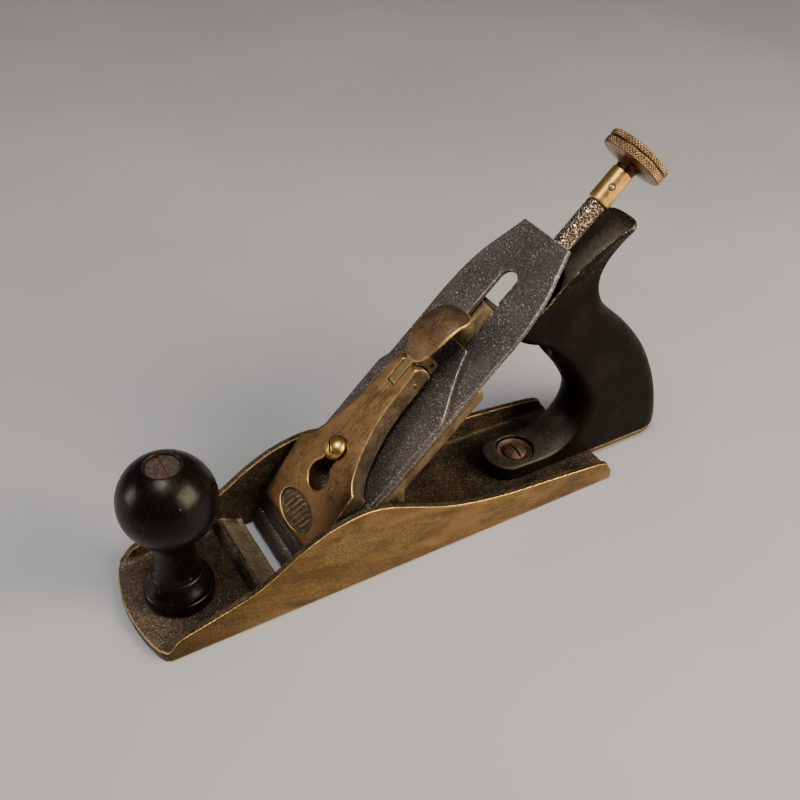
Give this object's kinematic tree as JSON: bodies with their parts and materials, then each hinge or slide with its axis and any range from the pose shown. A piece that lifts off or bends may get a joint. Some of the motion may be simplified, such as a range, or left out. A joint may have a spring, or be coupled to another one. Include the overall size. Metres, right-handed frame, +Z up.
{
  "type": "bench smoothing plane",
  "caption": "Hand plane for smoothing wood: curved-cheek body, front knob, rear handle, bedded iron under a cam-locked lever cap, thumb-wheel depth adjuster.",
  "frame": {"origin": "on the underside of the sole, on the centre line, about half way between toe and heel", "axes": "+X from the toe to the heel, +Y across the sole towards the cheek on the far side of the picture, +Z up from the sole"},
  "size_m": [0.2829, 0.0584, 0.17],
  "materials": {
    "bronze": "old cast bronze, ground outside, dark patina inside",
    "cap_bronze": "satin bronze with brown patina and worn bright edges",
    "polished_brass": "polished, slightly tarnished",
    "tool_steel": "dark pitted steel",
    "dark_steel": "dark steel",
    "bright_steel": "worn bright",
    "rusty_steel": "brown oxidised steel",
    "ebonised_wood": "black gloss",
    "tote_wood": "black, dull, worn edges"
  },
  "bodies": {
    "base": {"plane_body": "bronze", "frog": "bronze", "frog_screw_near": "dark_steel", "frog_screw_far": "dark_steel", "adjuster_keeper_plate": "bronze", "keeper_screw_upper": "dark_steel", "keeper_screw_lower": "dark_steel", "front_knob": "ebonised_wood", "knob_bolt": "rusty_steel", "tote": "tote_wood", "tote_screw_washer": "rusty_steel", "tote_screw": "rusty_steel", "tote_tail_screw": "dark_steel"},
    "adjuster": {"adjuster_rod": "dark_steel", "adjuster_knob": "polished_brass", "adjuster_pin": "bright_steel"},
    "traveller": {"adjuster_traveller": "bronze"},
    "blade": {"cutting_iron": "tool_steel", "cap_iron": "tool_steel", "cap_iron_screw": "dark_steel"},
    "clamp": {"lever_cap": "cap_bronze", "cam_pin": "polished_brass"},
    "cam": {"cam_lever": "cap_bronze"},
    "cap_screw": {"lever_cap_screw": "polished_brass"}
  },
  "joints": [
    {"name": "adjuster_spin", "type": "hinge", "parent": "base", "child": "adjuster", "pos_m": [0.11852, 0, 0.15705], "axis": [-0.7071, 0, -0.7071], "range_deg": [-360, 1980]},
    {"name": "blade_feed", "type": "slide", "parent": "base", "child": "traveller", "axis": [-0.7071, 0, -0.7071], "range_m": [-0.001, 0.0055]},
    {"name": "iron_swing", "type": "hinge", "parent": "traveller", "child": "blade", "pos_m": [0.01606, 0, 0.06576], "axis": [-0.7071, 0, 0.7071], "range_deg": [-0.35, 0.35]},
    {"name": "cap_release", "type": "slide", "parent": "base", "child": "clamp", "axis": [0.7071, 0, 0.7071], "range_m": [0, 0.014]},
    {"name": "cam_lift", "type": "hinge", "parent": "clamp", "child": "cam", "pos_m": [0.01146, 0, 0.08026], "axis": [0, -1, 0], "range_deg": [0, 78]},
    {"name": "cap_screw_turn", "type": "hinge", "parent": "base", "child": "cap_screw", "pos_m": [-0.02107, 0, 0.05409], "axis": [-0.7071, 0, 0.7071], "range_deg": [-90, 90]}
  ],
  "couplings": [
    {"joint": "adjuster_spin", "follows": "blade_feed", "rad_per_m": 6283.2}
  ]
}
